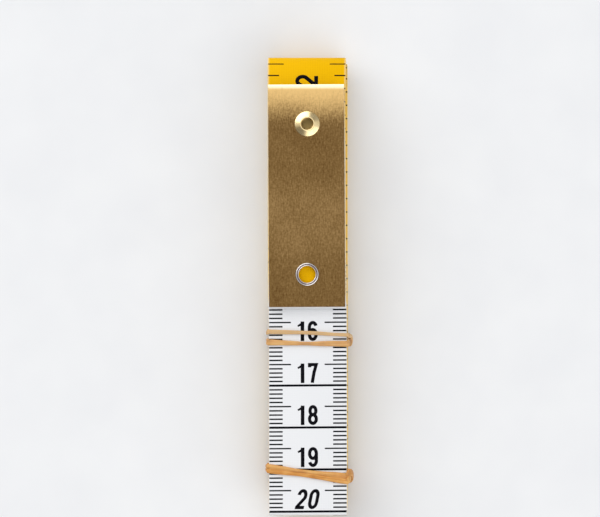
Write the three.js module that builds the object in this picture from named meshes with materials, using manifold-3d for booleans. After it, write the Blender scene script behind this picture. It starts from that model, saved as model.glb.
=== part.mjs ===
// A dressmaker's tape measure, wound flat, with a riveted brass end and two rubber bands.
// Millimetres. X runs across the tape, +Y towards the brass tip, +Z up from the surface it lies on.
import * as THREE from "three";
import { mergeVertices } from "three/addons/utils/BufferGeometryUtils.js";
import Module from "manifold-3d";

// The tape and its winding
const tapeLength = 1500;
const tapeWidth = 18.8;
const tapeThickness = 0.35;
const windingGap = 0.41;
const bundleLength = 109;
const coreHalfHeight = 0.55;
const endStretchShare = 2;
const bottomInset = 1;
const bandRoom = 1.1;
const wedgeFromBand = 5.9;
const wedgeLength = 5;
const foldedClearance = 0.3;

// The brass end
const sheathWidth = 18.1;
const sheathLength = 52.93;
const sheathFromTop = 6.5;
const sheetThickness = 0.3;
const backSheetSetback = 1.5;
const foldOverhang = 0.37;
const flapFoldFromTip = 4.7;
const endLean = THREE.MathUtils.degToRad(0.47);

// The rivet near the tip
const rivetFromTip = 9.4;
const rivetShankRadius = 1.5;
const rivetHeadRadius = 3.05;
const rivetHeadHeight = 0.7;
const rivetDimpleRadius = 1.3;
const rivetDimpleFloor = 0.15;
const rivetTailRadius = 2.6;

// The eyelet near the mouth
const eyeletFromMouth = 7.75;
const eyeletBore = 2.08;
const eyeletWall = 0.22;
const eyeletRimRadius = 2.85;
const eyeletRimHeight = 0.35;
const setFlangeThickness = 0.2;
const shankClearance = 0.15;

// The clip crimped on the far end
const clipLength = 7;
const clipSheet = 0.15;
const clipMargin = 0.2;

// The rubber bands
const bandThickness = 0.6;
const bandClearance = 0.3;
const strandGap = 0.41;
const upperBandFromMouth = 7.47;
const lowerBandFromBottom = 9.85;
const upperStrands = { width: 1.2, spacing: 2.1, drop: 0.5 };
const lowerStrands = { width: 0.95, spacing: 1.4, drop: 2.4 };

// How finely curves are cut
const endSteps = 12;
const foldSteps = 8;
const roundSteps = 32;
const cornerSteps = 3;
const sampleStep = 0.5;
const foldReach = 2.5;
const overrun = 1;

const pitch = tapeThickness + windingGap;
const halfTape = tapeThickness / 2;
const halfBundle = bundleLength / 2;

// Places along the bundle
const sheathTip = halfBundle - sheathFromTop;
const sheathMouth = sheathTip - sheathLength;
const flapTop = sheathTip - flapFoldFromTip;
const upperBand = { ...upperStrands, y: sheathMouth - upperBandFromMouth };
const lowerBand = { ...lowerStrands, y: lowerBandFromBottom - halfBundle };
const wedgeStart = upperBand.y + wedgeFromBand;
const wedgeEnd = wedgeStart + wedgeLength;

// Heights: the brass end lies on the flap, the flap on the white stretch, and that on the winding.
const flapFoldRadius = (tapeThickness + foldedClearance) / 2;
const endStack = tapeThickness + foldedClearance + setFlangeThickness + sheetThickness;
const endFoldRadius = endStack / 2;
const bottomFoldRadius = pitch / 2;
const endFoldY = sheathMouth - foldOverhang + endFoldRadius + halfTape;
const tongueTip = sheathTip - sheetThickness;
const bottomFoldY = -halfBundle + halfTape + bottomFoldRadius;

// The tape length left for the stretch from the flap's fold inwards
const tongueRun = tongueTip - endFoldY + Math.PI * endFoldRadius;
const flapRun = flapTop - endFoldY + Math.PI * flapFoldRadius;
const windingRun = tapeLength - tongueRun - flapRun;

// The winding in a plane: depth below the outer front run against y, for a given number of half turns.
function windingPath(halfTurns) {
  const outer = coreHalfHeight + (halfTurns * pitch) / 2;
  const outerDepth = 2 * outer - pitch / 2;
  const spreadShare = bandRoom / outerDepth;
  const topCentre = halfBundle - halfTape - endStretchShare * (outer - pitch / 4);
  const bottomReach = outer - (3 * pitch) / 4;
  const bottomCentre = -(halfBundle - bottomInset - halfTape - endStretchShare * bottomReach);
  const frontZ = outerDepth + bandRoom + halfTape;
  const flatten = (y, z) => {
    const share = THREE.MathUtils.clamp((y - wedgeStart) / (wedgeEnd - wedgeStart), 0, 1);
    return new THREE.Vector2(y, frontZ - (1 + spreadShare * share) * (outer - z));
  };
  const points = [new THREE.Vector2(flapTop, frontZ + pitch)];
  for (let i = 0; i <= foldSteps; i++) {
    const turn = (Math.PI * i) / foldSteps;
    points.push(
      new THREE.Vector2(
        bottomFoldY - bottomFoldRadius * Math.sin(turn),
        frontZ + bottomFoldRadius * (1 + Math.cos(turn)),
      ),
    );
  }
  for (let half = 0; half <= halfTurns; half++) {
    const height = outer - (half * pitch) / 2;
    const towardsTop = half % 2 === 0;
    const side = towardsTop ? 1 : -1;
    const wedge = towardsTop ? [wedgeStart, wedgeEnd] : [wedgeEnd, wedgeStart];
    wedge.forEach((y) => points.push(flatten(y, side * height)));
    const centre = towardsTop ? topCentre : bottomCentre;
    const last = half === halfTurns ? 0 : endSteps;
    for (let i = 0; i <= last; i++) {
      const turn = (Math.PI * i) / endSteps;
      const reach = height - (pitch * i) / (2 * endSteps);
      points.push(
        flatten(
          centre + side * endStretchShare * reach * Math.sin(turn),
          side * reach * Math.cos(turn),
        ),
      );
    }
  }
  return { points, frontZ };
}

function pathLength(points) {
  return points.slice(1).reduce((sum, p, i) => sum + p.distanceTo(points[i]), 0);
}

// Keeps the first `length` of a path, or with a negative length the last of it.
function cutPath(points, length) {
  if (length < 0) return cutPath([...points].reverse(), -length).reverse();
  const kept = [points[0]];
  let left = length;
  for (let i = 1; i < points.length && left > 0; i++) {
    const step = points[i].distanceTo(points[i - 1]);
    kept.push(step > left ? points[i - 1].clone().lerp(points[i], left / step) : points[i]);
    left -= step;
  }
  return kept;
}

// The path moved sideways by `offset`, mitred at its corners.
function offsetPath(points, offset) {
  const normals = points.slice(1).map((p, i) => {
    const along = p.clone().sub(points[i]).normalize();
    return new THREE.Vector2(-along.y, along.x);
  });
  return points.map((p, i) => {
    const before = normals[Math.max(i - 1, 0)];
    const after = normals[Math.min(i, normals.length - 1)];
    const mitre = before.clone().add(after);
    return p.clone().addScaledVector(mitre, (2 * offset) / mitre.lengthSq());
  });
}

let halfTurns = 1;
while (pathLength(windingPath(halfTurns).points) < windingRun) halfTurns++;
const winding = windingPath(halfTurns);
const fullPath = cutPath(winding.points, windingRun);

const whiteZ = winding.frontZ + pitch;
const flapFoldZ = whiteZ + flapFoldRadius;
const flapZ = whiteZ + 2 * flapFoldRadius;
const endFoldZ = flapZ + endFoldRadius;
const tongueZ = flapZ + 2 * endFoldRadius;
const sheathBottom = tongueZ - halfTape - sheetThickness;
const sheathTop = tongueZ + halfTape + sheetThickness;
const rivetY = sheathTip - rivetFromTip;
const eyeletY = sheathMouth + eyeletFromMouth;

// An outline in (y, z) made into a solid across X
const acrossX = new THREE.Matrix4().makeBasis(
  new THREE.Vector3(0, 1, 0),
  new THREE.Vector3(0, 0, 1),
  new THREE.Vector3(1, 0, 0),
);

function extrudeAcross(shape, width, curveSegments = roundSteps) {
  const made = new THREE.ExtrudeGeometry(shape, { depth: width, bevelEnabled: false, curveSegments });
  return made.translate(0, 0, -width / 2).applyMatrix4(acrossX);
}

const wasm = await Module();
wasm.setup();

function toSolid(geometry) {
  const bare = geometry.clone();
  bare.deleteAttribute("normal");
  bare.deleteAttribute("uv");
  const merged = mergeVertices(bare);
  return new wasm.Manifold(
    new wasm.Mesh({
      numProp: 3,
      vertProperties: merged.attributes.position.array,
      triVerts: new Uint32Array(merged.index.array),
    }),
  );
}

function toGeometry(solid) {
  const mesh = solid.getMesh();
  const geometry = new THREE.BufferGeometry();
  geometry.setAttribute("position", new THREE.BufferAttribute(mesh.vertProperties, mesh.numProp));
  geometry.setIndex(new THREE.BufferAttribute(mesh.triVerts, 1));
  geometry.computeVertexNormals();
  return geometry;
}

function uprightCylinder(radius, y) {
  const height = sheathTop - sheathBottom + 2 * overrun;
  return new THREE.CylinderGeometry(radius, radius, height, roundSteps)
    .rotateX(Math.PI / 2)
    .translate(0, y, tongueZ);
}

// Cuts the holes for the rivet's shank and the eyelet's barrel.
function pierce(geometry) {
  const shankHole = uprightCylinder(rivetShankRadius + shankClearance, rivetY);
  const barrelHole = uprightCylinder(eyeletBore + eyeletWall + shankClearance, eyeletY);
  return toGeometry(toSolid(geometry).subtract(toSolid(shankHole)).subtract(toSolid(barrelHole)));
}

function lathe(profile, y) {
  const points = profile.map(([radius, z]) => new THREE.Vector2(radius, z));
  return new THREE.LatheGeometry(points, roundSteps).rotateX(Math.PI / 2).translate(0, y, 0);
}

// A strip of tape whose near end is rolled into a round fold about (foldY, foldZ).
function foldedStrip(foldY, foldZ, stripZ, farY) {
  const side = Math.sign(stripZ - foldZ);
  const away = Math.sign(farY - foldY);
  const radius = Math.abs(stripZ - foldZ) + halfTape;
  const innerRise = radius - tapeThickness;
  const meet = Math.asin(innerRise / radius);
  const start = side > 0 ? Math.PI / 2 : -Math.PI / 2;
  const end = away > 0 ? side * meet : Math.PI - side * meet;
  const shape = new THREE.Shape();
  shape.moveTo(farY, foldZ + side * radius);
  shape.lineTo(foldY, foldZ + side * radius);
  shape.absarc(foldY, foldZ, radius, start, end, away * side < 0);
  shape.lineTo(farY, foldZ + side * innerRise);
  return shape;
}

function makeTapeCoil() {
  const clear = 2 * flapFoldRadius;
  const path = fullPath.map((p) => p.clone());
  path[0].x = flapTop - Math.sqrt((clear + halfTape) ** 2 - (flapFoldRadius - halfTape) ** 2);
  const outline = [...offsetPath(path, halfTape), ...offsetPath(path, -halfTape).reverse()];
  return extrudeAcross(new THREE.Shape(outline), tapeWidth);
}

function makeFarEndClip() {
  const tail = cutPath(fullPath, -clipLength);
  const last = tail[tail.length - 1];
  const along = last.clone().sub(tail[tail.length - 2]).normalize();
  const longer = [...tail, last.clone().addScaledVector(along, clipSheet)];
  const outline = [
    ...offsetPath(longer, halfTape + clipSheet),
    ...offsetPath(longer, -halfTape - clipSheet).reverse(),
    ...offsetPath(tail, -halfTape),
    ...offsetPath(tail, halfTape).reverse(),
  ];
  return extrudeAcross(new THREE.Shape(outline), tapeWidth - 2 * clipMargin);
}

// The yellow stretch that opens about its fold at the top; it stops short of the brass end's fold.
function makeTapeFlap() {
  const foldRadius = endFoldRadius + halfTape;
  const innerRise = endFoldRadius - halfTape;
  const nearY = endFoldY + Math.sqrt((foldRadius + foldedClearance) ** 2 - innerRise ** 2);
  return extrudeAcross(foldedStrip(flapTop, flapFoldZ, flapZ, nearY), tapeWidth);
}

function makeTapeTongue() {
  const strip = foldedStrip(endFoldY, endFoldZ, tongueZ, tongueTip - tapeThickness);
  return pierce(extrudeAcross(strip, tapeWidth));
}

function makeBrassSheath() {
  const outerRadius = (sheathTop - sheathBottom) / 2;
  const bendY = sheathTip - outerRadius;
  const backEdge = endFoldY + endFoldRadius + halfTape + foldedClearance;
  const mouthBack = Math.max(sheathMouth + backSheetSetback, backEdge);
  const shape = new THREE.Shape();
  shape.moveTo(sheathMouth, sheathTop);
  shape.lineTo(sheathMouth, sheathTop - sheetThickness);
  shape.lineTo(bendY, sheathTop - sheetThickness);
  shape.absarc(bendY, tongueZ, halfTape, Math.PI / 2, -Math.PI / 2, true);
  shape.lineTo(mouthBack, sheathBottom + sheetThickness);
  shape.lineTo(mouthBack, sheathBottom);
  shape.lineTo(bendY, sheathBottom);
  shape.absarc(bendY, tongueZ, outerRadius, -Math.PI / 2, Math.PI / 2, false);
  shape.lineTo(sheathMouth, sheathTop);
  return pierce(extrudeAcross(shape, sheathWidth));
}

function makeTipRivet() {
  const crown = sheathTop + rivetHeadHeight;
  const floor = sheathTop + rivetDimpleFloor;
  const ring = rivetHeadRadius - rivetDimpleRadius;
  return lathe(
    [
      [0, sheathBottom - setFlangeThickness],
      [rivetTailRadius, sheathBottom - setFlangeThickness],
      [rivetTailRadius, sheathBottom],
      [rivetShankRadius, sheathBottom],
      [rivetShankRadius, sheathTop],
      [rivetHeadRadius, sheathTop],
      [rivetHeadRadius - ring / 8, sheathTop + rivetHeadHeight / 2],
      [rivetHeadRadius - ring / 3, sheathTop + (rivetHeadHeight * 7) / 8],
      [rivetHeadRadius - (ring * 5) / 9, crown],
      [rivetDimpleRadius + ring / 5, sheathTop + (rivetHeadHeight * 3) / 4],
      [rivetDimpleRadius, floor],
      [0, floor],
    ],
    rivetY,
  );
}

function makeEyelet() {
  const barrel = eyeletBore + eyeletWall;
  const crown = (eyeletBore + eyeletRimRadius) / 2;
  const shoulder = eyeletRimHeight / 2;
  return lathe(
    [
      [eyeletBore, sheathBottom - setFlangeThickness],
      [eyeletRimRadius, sheathBottom - setFlangeThickness],
      [eyeletRimRadius, sheathBottom],
      [barrel, sheathBottom],
      [barrel, sheathTop],
      [eyeletRimRadius, sheathTop],
      [eyeletRimRadius, sheathTop + shoulder],
      [crown, sheathTop + eyeletRimHeight],
      [eyeletBore, sheathTop + shoulder],
      [eyeletBore, sheathBottom - setFlangeThickness],
    ],
    eyeletY,
  );
}

const smooth = (value, from, to) => THREE.MathUtils.smoothstep(value, from, to);

// The centre line of one rubber band, wound twice round the bundle and crossing itself on the right.
// Each station is a point and its outward direction, both in the XZ plane but for the band's lean in y.
function bandStations({ y, spacing, drop }) {
  const bend = bandClearance + bandThickness / 2;
  const edge = tapeWidth / 2;
  const top = whiteZ + halfTape;
  const hump = bandThickness + strandGap;
  const stations = [];
  const walk = (x, z, outX, outZ, strandShare, lift) => {
    const out = new THREE.Vector3(outX, 0, outZ).normalize();
    const lean = (-drop * x) / tapeWidth;
    const centre = new THREE.Vector3(x, y + lean + (strandShare * spacing) / 2, z);
    stations.push({ centre: centre.addScaledVector(out, bend + lift), out });
  };
  const corner = (x, z, from, strandShare) => {
    for (let i = 0; i <= cornerSteps; i++) {
      const turn = from - (Math.PI / 2) * (i / cornerSteps);
      walk(x, z, Math.cos(turn), Math.sin(turn), strandShare, 0);
    }
  };
  for (const strand of [1, -1]) {
    const hops = strand > 0 ? hump : 0;
    corner(-edge, top, Math.PI, strand);
    corner(edge, top, Math.PI / 2, strand);
    for (let i = 1; i < endSteps; i++) {
      const share = i / endSteps;
      const lift = hops * smooth(share, 0, 1 / 3) * (1 - smooth(share, 2 / 3, 1));
      const swapped = strand * (1 - 2 * smooth(share, 1 / 4, 3 / 4));
      walk(edge, THREE.MathUtils.lerp(top, bandRoom, share), 1, 0, swapped, lift);
    }
    corner(edge, bandRoom, 0, -strand);
    corner(-edge, bandRoom, -Math.PI / 2, -strand);
  }
  return stations;
}

// A closed sweep of a flat eight-sided section along the stations
function makeBand(band) {
  const stations = bandStations(band);
  const count = stations.length;
  const halfWidth = band.width / 2;
  const halfThick = bandThickness / 2;
  const section = [
    [halfWidth, halfThick / 2],
    [halfWidth / 2, halfThick],
    [-halfWidth / 2, halfThick],
    [-halfWidth, halfThick / 2],
    [-halfWidth, -halfThick / 2],
    [-halfWidth / 2, -halfThick],
    [halfWidth / 2, -halfThick],
    [halfWidth, -halfThick / 2],
  ];
  const positions = [];
  const index = [];
  stations.forEach(({ centre, out }, i) => {
    const before = stations[(i + count - 1) % count].centre;
    const after = stations[(i + 1) % count].centre;
    const along = after.clone().sub(before).normalize();
    const across = new THREE.Vector3().crossVectors(along, out).normalize();
    const lift = new THREE.Vector3().crossVectors(across, along).normalize();
    section.forEach(([side, rise], j) => {
      positions.push(...centre.clone().addScaledVector(across, side).addScaledVector(lift, rise).toArray());
      const next = (j + 1) % section.length;
      const here = i * section.length;
      const there = ((i + 1) % count) * section.length;
      index.push(here + j, there + j, there + next, here + j, there + next, here + next);
    });
  });
  const geometry = new THREE.BufferGeometry();
  geometry.setAttribute("position", new THREE.Float32BufferAttribute(positions, 3));
  geometry.setIndex(index);
  geometry.computeVertexNormals();
  return geometry;
}

// The least distance between stretches of a path that are not neighbours, less the piece's own thickness
function leastGap(points, thickness, reach) {
  const samples = [];
  let walked = 0;
  points.slice(1).forEach((p, i) => {
    const length = p.distanceTo(points[i]);
    const steps = Math.max(1, Math.round(length / sampleStep));
    for (let k = 0; k < steps; k++) {
      samples.push({ at: points[i].clone().lerp(p, k / steps), s: walked + (length * k) / steps });
    }
    walked += length;
  });
  let least = Infinity;
  samples.forEach((a, i) => {
    for (let j = i + 1; j < samples.length; j++) {
      if (samples[j].s - a.s > reach) least = Math.min(least, a.at.distanceTo(samples[j].at));
    }
  });
  return least - thickness;
}

const yellow = new THREE.MeshStandardMaterial({ color: 0xfac805, roughness: 0.6, metalness: 0 });
const white = new THREE.MeshStandardMaterial({ color: 0xf4f5f6, roughness: 0.6, metalness: 0 });
const brass = new THREE.MeshStandardMaterial({ color: 0x8c6c41, roughness: 0.35, metalness: 1 });
const brightBrass = new THREE.MeshStandardMaterial({ color: 0xd0aa68, roughness: 0.2, metalness: 1 });
const nickel = new THREE.MeshStandardMaterial({ color: 0xc4c2c0, roughness: 0.2, metalness: 1 });
const rubber = new THREE.MeshStandardMaterial({ color: 0xdca067, roughness: 0.7, metalness: 0 });

function addPiece(group, name, geometry, material) {
  const mesh = new THREE.Mesh(geometry, material);
  mesh.name = name;
  group.add(mesh);
}

// The brass end leans a little, so its pieces share a group that turns about the mouth.
const endPieces = new THREE.Group();
addPiece(endPieces, "tape_tongue", makeTapeTongue(), white);
addPiece(endPieces, "brass_sheath", makeBrassSheath(), brass);
addPiece(endPieces, "tip_rivet", makeTipRivet(), brightBrass);
addPiece(endPieces, "eyelet", makeEyelet(), nickel);
endPieces.children.forEach((piece) => piece.geometry.translate(0, -sheathMouth, 0));
endPieces.position.y = sheathMouth;
endPieces.rotation.z = endLean;

const tapeMeasure = new THREE.Group();
addPiece(tapeMeasure, "tape_coil", makeTapeCoil(), yellow);
addPiece(tapeMeasure, "far_end_clip", makeFarEndClip(), nickel);
addPiece(tapeMeasure, "tape_flap", makeTapeFlap(), yellow);
addPiece(tapeMeasure, "upper_band", makeBand(upperBand), rubber);
addPiece(tapeMeasure, "lower_band", makeBand(lowerBand), rubber);
tapeMeasure.add(endPieces);

// The bands stand out further on the right, so the whole is moved to put x = 0 at its middle.
tapeMeasure.position.x = -(bandThickness + strandGap) / 2;

console.log(
  `winding: ${halfTurns} half turns, ${pathLength(fullPath).toFixed(1)} mm, ` +
    `least gap to itself ${leastGap(fullPath, tapeThickness, foldReach).toFixed(3)} mm`,
);
for (const [name, band] of Object.entries({ upperBand, lowerBand })) {
  const centres = bandStations(band).map(({ centre }) => centre);
  const crossing = leastGap(centres, bandThickness, tapeWidth / 2).toFixed(3);
  console.log(`${name}: gap where it crosses itself ${crossing} mm, gap between its strands ` +
    `${(band.spacing - band.width).toFixed(3)} mm`);
}
console.log(
  `flap fold at y ${flapTop}, z ${flapFoldZ.toFixed(3)}; end fold at y ${endFoldY.toFixed(3)}, ` +
    `z ${endFoldZ.toFixed(3)}; top of the brass ${sheathTop.toFixed(3)}`,
);

export default tapeMeasure;
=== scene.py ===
import bisect
import math
import random

import bmesh
import bpy
from mathutils import Matrix, Vector


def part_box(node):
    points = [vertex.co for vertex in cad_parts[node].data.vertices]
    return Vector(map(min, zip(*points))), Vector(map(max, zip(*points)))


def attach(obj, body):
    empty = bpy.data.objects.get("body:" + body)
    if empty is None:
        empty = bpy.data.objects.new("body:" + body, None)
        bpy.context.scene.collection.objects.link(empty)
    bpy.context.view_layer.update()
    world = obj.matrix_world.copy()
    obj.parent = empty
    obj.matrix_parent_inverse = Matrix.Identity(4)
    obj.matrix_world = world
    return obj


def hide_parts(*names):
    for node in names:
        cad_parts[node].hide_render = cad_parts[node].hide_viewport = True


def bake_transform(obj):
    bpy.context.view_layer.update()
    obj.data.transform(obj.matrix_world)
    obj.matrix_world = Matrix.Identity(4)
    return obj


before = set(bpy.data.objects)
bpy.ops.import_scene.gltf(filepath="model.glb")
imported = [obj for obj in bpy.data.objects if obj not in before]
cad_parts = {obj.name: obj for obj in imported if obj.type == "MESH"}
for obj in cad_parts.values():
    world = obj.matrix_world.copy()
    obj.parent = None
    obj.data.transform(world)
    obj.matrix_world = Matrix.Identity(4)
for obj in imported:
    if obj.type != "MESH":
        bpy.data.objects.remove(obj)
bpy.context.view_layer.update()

mm = 0.001
print("frame loaded")

# The tape as it was woven and the way it is folded and wound, in millimetres. "slack" is how much higher
# single turns end at the bottom; "loose" and "waver" are how far the inner turns may lie to one side.
tape = {
    "length": 1500, "width": 18.6, "thickness": 0.35, "gap": 0.41,
    "bundle": 109, "coreHalf": 0.55, "halfTurns": 12, "endStretch": 2, "bottomInset": 1,
    "bandRoom": 1.1, "wedge": (-6.5, -1.5), "clearance": 0.3, "edgeRound": 0.11,
    "slack": {1: 0.53, 3: -0.18, 5: -0.18, 7: -0.17}, "loose": (-0.02, 0.1), "waver": 0.04,
}

# The folded brass end, in millimetres; "lean" turns it about its mouth.
brassEnd = {
    "width": 18.1, "tip": 48, "mouth": -4.93, "sheet": 0.3, "flange": 0.2,
    "foldOverhang": 0.37, "flapTop": 43.3, "lean": math.radians(0.3), "aside": -0.2,
}
tapeX = sum(v.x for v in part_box("tape_coil")) / 2 / mm
halfTape = tape["thickness"] / 2
pitch = tape["thickness"] + tape["gap"]

# Heights of the tape's middle surface in each stretch
outerHalf = tape["coreHalf"] + tape["halfTurns"] * pitch / 2
outerDepth = 2 * outerHalf - pitch / 2
frontZ = outerDepth + tape["bandRoom"] + halfTape
whiteZ = frontZ + pitch
flapZ = whiteZ + tape["thickness"] + tape["clearance"]
tongueZ = flapZ + tape["thickness"] + tape["clearance"] + brassEnd["flange"] + brassEnd["sheet"]
sheathBottom = tongueZ - halfTape - brassEnd["sheet"]
sheathTop = tongueZ + halfTape + brassEnd["sheet"]

# The rivet and the eyelet, in millimetres; both the tape and the brass are drilled for them.
rivet = {
    "fromTip": 9.4, "aside": 0.24, "shank": 1.5, "head": 2.98, "height": 0.7, "undercut": 0.03,
    "rim": (0.12, 0.1), "slope": 62, "crown": 0.3, "lip": 0.36, "lipRound": (0.2, 0.12),
    "dimple": 1.26, "chamfer": (0.03, 0.05), "floorInset": 0.12, "floor": 0.1, "tail": 2.6, "tailRound": 0.1,
}
eyelet = {
    "fromMouth": 7.75, "aside": 0.03, "bore": 2.0, "wall": 0.27, "rim": 2.76, "height": 0.35,
    "undercut": 0.03, "bead": 0.16, "groove": 0.1, "lip": 0.12, "lipDrop": 0.1, "straight": 0.2,
    "flare": 0.12, "tailRound": 0.1,
}
sharpAngle = math.radians(50)
rivetY = brassEnd["tip"] - rivet["fromTip"]
eyeletY = brassEnd["mouth"] + eyelet["fromMouth"]


def smooth(value, low, high):
    share = min(max((value - low) / (high - low), 0), 1)
    return share * share * (3 - 2 * share)


# The tape's path in (y, z), from its end in the brass to its end inside the winding
def tapePath():
    path, marks = [], {}
    half = tape["bundle"] / 2
    foldRadius = {"end": (tongueZ - flapZ) / 2, "flap": (flapZ - whiteZ) / 2, "bottom": pitch / 2}
    endY = brassEnd["mouth"] - brassEnd["foldOverhang"] + foldRadius["end"] + halfTape
    bottomY = -half + halfTape + foldRadius["bottom"]

    def mark(name):
        marks[name] = sum((b - a).length for a, b in zip(path, path[1:]))

    def run(toY, z, steps=18):
        fromY = path[-1].x
        path.extend(Vector((fromY + (toY - fromY) * i / steps, z)) for i in range(1, steps + 1))

    def fold(y, radius, topZ, side, steps=14):
        for i in range(1, steps + 1):
            turn = math.pi * i / steps
            path.append(Vector((y + side * radius * math.sin(turn), topZ - radius * (1 - math.cos(turn)))))

    path.append(Vector((brassEnd["tip"] - brassEnd["sheet"], tongueZ)))
    run(endY, tongueZ)
    mark("endFold")
    fold(endY, foldRadius["end"], tongueZ, -1)
    mark("flapStart")
    run((endY + brassEnd["flapTop"]) / 2, flapZ)
    mark("flapMiddle")
    run(brassEnd["flapTop"], flapZ)
    mark("flapFold")
    fold(brassEnd["flapTop"], foldRadius["flap"], flapZ, 1)
    mark("whiteStart")
    run(bottomY, whiteZ, steps=36)
    mark("bottomFold")
    fold(bottomY, foldRadius["bottom"], whiteZ, -1)

    # Concentric turns; the upper half stands a little thicker than the half that the bands squeeze.
    spread = tape["bandRoom"] / outerDepth
    topReach = outerHalf - pitch / 4
    bottomReach = outerHalf - 3 * pitch / 4
    topCentre = half - halfTape - tape["endStretch"] * topReach
    bottomCentre = -(half - tape["bottomInset"] - halfTape - tape["endStretch"] * bottomReach)
    steps = 28

    def flatten(y, z):
        return Vector((y, frontZ - (1 + spread * smooth(y, *tape["wedge"])) * (outerHalf - z)))

    for turn in range(tape["halfTurns"] + 1):
        height = outerHalf - turn * pitch / 2
        side = 1 if turn % 2 == 0 else -1
        fromY = path[-1].x
        toY = topCentre if side > 0 else bottomCentre + tape["slack"].get(turn, 0)
        mark(f"run{turn}")
        path.extend(flatten(fromY + (toY - fromY) * i / steps, side * height) for i in range(1, steps + 1))
        mark(f"turn{turn}")
        if turn < tape["halfTurns"]:
            for i in range(1, steps + 1):
                angle = math.pi * i / steps
                reach = height - pitch * i / (2 * steps)
                y = toY + side * tape["endStretch"] * reach * math.sin(angle)
                path.append(flatten(y, side * reach * math.cos(angle)))
    return path, marks


# The path cut at the tape's length, the length along it and the mitred normal at each of its points
def measurePath(path):
    along = [0]
    for a, b in zip(path, path[1:]):
        along.append(along[-1] + (b - a).length)
    last = bisect.bisect_left(along, tape["length"])
    share = (tape["length"] - along[last - 1]) / (along[last] - along[last - 1])
    path = path[:last] + [path[last - 1].lerp(path[last], share)]
    along = along[:last] + [tape["length"]]
    normals = []
    for i in range(len(path)):
        legs = [path[k + 1] - path[k] for k in (i - 1, i) if 0 <= k < len(path) - 1]
        sides = [Vector((-leg.y, leg.x)).normalized() for leg in legs]
        mitre = sides[0] + sides[-1]
        normals.append(mitre * 2 / mitre.length_squared)
    return path, along, normals


path, marks = tapePath()
path, along, normals = measurePath(path)

# How far each stretch of the tape lies to one side, as loosely wound layers do: stops of the length along
# the tape and the millimetres aside
random.seed(7)
drift = [
    (0, -0.2), (marks["endFold"] - 3, -0.2), (marks["endFold"], -0.14), (marks["flapStart"], -0.14),
    (marks["flapFold"], -0.4), (marks["whiteStart"], -0.4), (marks["whiteStart"] + 15, -0.25),
    (marks["whiteStart"] + 44, -0.14), (marks["whiteStart"] + 51, -0.07),
    (marks["whiteStart"] + 72, -0.02), (marks["bottomFold"], 0),
    (marks["run0"] + 28, 0), (marks["run0"] + 46, -0.05), (marks["run0"] + 55, -0.24),
    (marks["turn0"] - 10, -0.28), (marks["turn0"], -0.33), (marks["run1"] + 15, 0.02),
    (marks["turn1"], 0.04), (marks["run2"] + 10, 0.25), (marks["run2"] + 40, 0.19), (marks["turn2"], 0.15),
]
for turn in range(3, tape["halfTurns"] + 1):
    shift = random.uniform(*tape["loose"])
    waver = random.uniform(-tape["waver"], tape["waver"])
    drift += [(marks[f"run{turn}"] + 4, shift), (marks[f"turn{turn}"], shift + waver)]

# How much of its width the tape keeps: it lies a little narrower inside and under the brass.
gripped = [
    (0, 0.98), (marks["endFold"] - 3, 0.98), (marks["endFold"], 1), (marks["flapStart"], 1),
    (marks["flapStart"] + 6, 0.98), (marks["whiteStart"] + 30, 0.985), (marks["whiteStart"] + 45, 1),
]


# The value at a length along the tape, eased from stop to stop
def follow(stops, s):
    i = bisect.bisect_right(stops, (s, math.inf))
    if i >= len(stops):
        return stops[-1][1]
    (s0, value0), (s1, value1) = stops[i - 1], stops[i]
    return value0 + (value1 - value0) * smooth(s, s0, s1)


# From a place on the flat tape (across, along, above its middle) to where it lies when wound
def wind(co):
    s = min(max(co.y, 0), tape["length"])
    i = min(bisect.bisect_right(along, s), len(along) - 1)
    share = (s - along[i - 1]) / (along[i] - along[i - 1])
    at = path[i - 1].lerp(path[i], share) + normals[i - 1].lerp(normals[i], share) * co.z
    beyond = co.y - s
    at += (path[i] - path[i - 1]).normalized() * beyond  # only the clip reaches past the tape's end
    x = co.x * follow(gripped, s) + follow(drift, s)
    lean = brassEnd["lean"] * (1 - smooth(s, marks["endFold"], marks["flapStart"]))
    turned = Matrix.Rotation(lean, 2) @ Vector((x, at.x - brassEnd["mouth"]))
    return Vector((tapeX + turned.x, turned.y + brassEnd["mouth"], at.y)) * mm


# An object at the origin, with its place in its mesh
def makeObject(name, bm, materials, flat=False):
    mesh = bpy.data.meshes.new(name)
    bm.to_mesh(mesh)
    bm.free()
    piece = bpy.data.objects.new(name, mesh)
    bpy.context.scene.collection.objects.link(piece)
    for material in materials:
        mesh.materials.append(material)
    for face in mesh.polygons:
        face.use_smooth = not flat
    return piece


# The mesh of a piece with another piece cut away from it
def cutAway(piece, cutter):
    boolean = piece.modifiers.new("holes", "BOOLEAN")
    boolean.operation, boolean.object, boolean.solver = "DIFFERENCE", cutter, "EXACT"
    bpy.context.view_layer.update()
    mesh = bpy.data.meshes.new_from_object(piece.evaluated_get(bpy.context.evaluated_depsgraph_get()))
    bpy.data.objects.remove(cutter)
    return mesh


# Faces made thick along a vector: they stay, and a copy closes the far side.
def thicken(bm, faces, by):
    grown = bmesh.ops.extrude_face_region(bm, geom=faces, use_keep_orig=True)["geom"]
    bmesh.ops.translate(bm, verts=[g for g in grown if isinstance(g, bmesh.types.BMVert)], vec=by)


# A round pin for cutting a hole
def addPin(bm, place, radius, depth, segments):
    bmesh.ops.create_cone(
        bm, cap_ends=True, segments=segments, radius1=radius, radius2=radius, depth=depth,
        matrix=Matrix.Translation(place),
    )


# Small helpers for node materials
def newMaterial(name, roughness, metallic, specular):
    material = bpy.data.materials.new(name)
    material.use_nodes = True
    shader = material.node_tree.nodes["Principled BSDF"]
    shader.inputs["Roughness"].default_value = roughness
    shader.inputs["Metallic"].default_value = metallic
    shader.inputs["Specular IOR Level"].default_value = specular
    return material, material.node_tree, shader


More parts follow.
